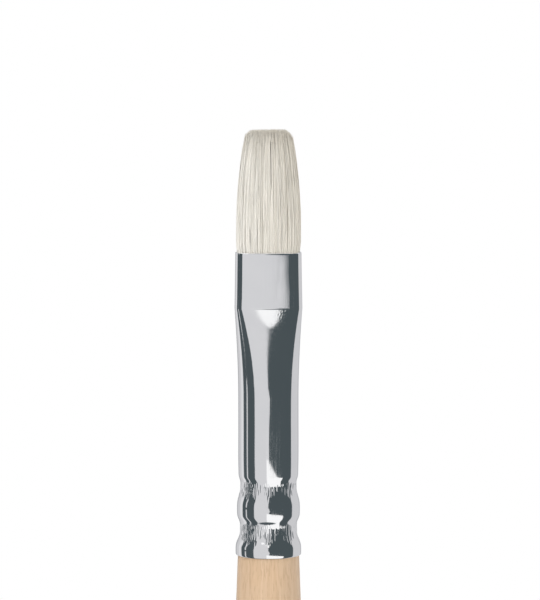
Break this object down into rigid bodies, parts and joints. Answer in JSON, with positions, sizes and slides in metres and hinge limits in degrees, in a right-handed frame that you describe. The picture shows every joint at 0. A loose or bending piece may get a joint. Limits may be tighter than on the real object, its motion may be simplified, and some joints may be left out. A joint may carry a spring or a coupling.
{
  "type": "paint brush",
  "caption": "Flat artist's brush with a pale natural bristle tuft, a long bright metal ferrule flattened at its mouth and crimped at its foot, and a slim tapered wooden handle.",
  "frame": {"origin": "centre of the rounded butt end of the handle, which is the lowest point of the upright brush", "axes": "+Z along the brush to the bristle tips, X across the flat of the tuft, -Y out of its broad face"},
  "size_m": [0.0116, 0.0116, 0.3],
  "materials": {
    "varnished_wood": "satin",
    "set_adhesive": "gloss",
    "nickel_plate": "polished",
    "set_resin": "gloss",
    "cotton_thread": "matte",
    "hog_bristle": "satin"
  },
  "bodies": {
    "brush": {"handle": "varnished_wood", "handle_glue": "set_adhesive", "ferrule": "nickel_plate", "epoxy_plug": "set_resin", "binding_thread": "cotton_thread", "bristle_roots": "hog_bristle"},
    "tuft": {"bristle_tuft": "hog_bristle"}
  },
  "joints": [
    {"name": "tuft_flex", "type": "hinge", "parent": "brush", "child": "tuft", "pos_m": [0, 0, 0.28141], "axis": [1, 0, 0], "range_deg": [-35, 35], "stiffness_Nm_per_rad": 0.012}
  ]
}
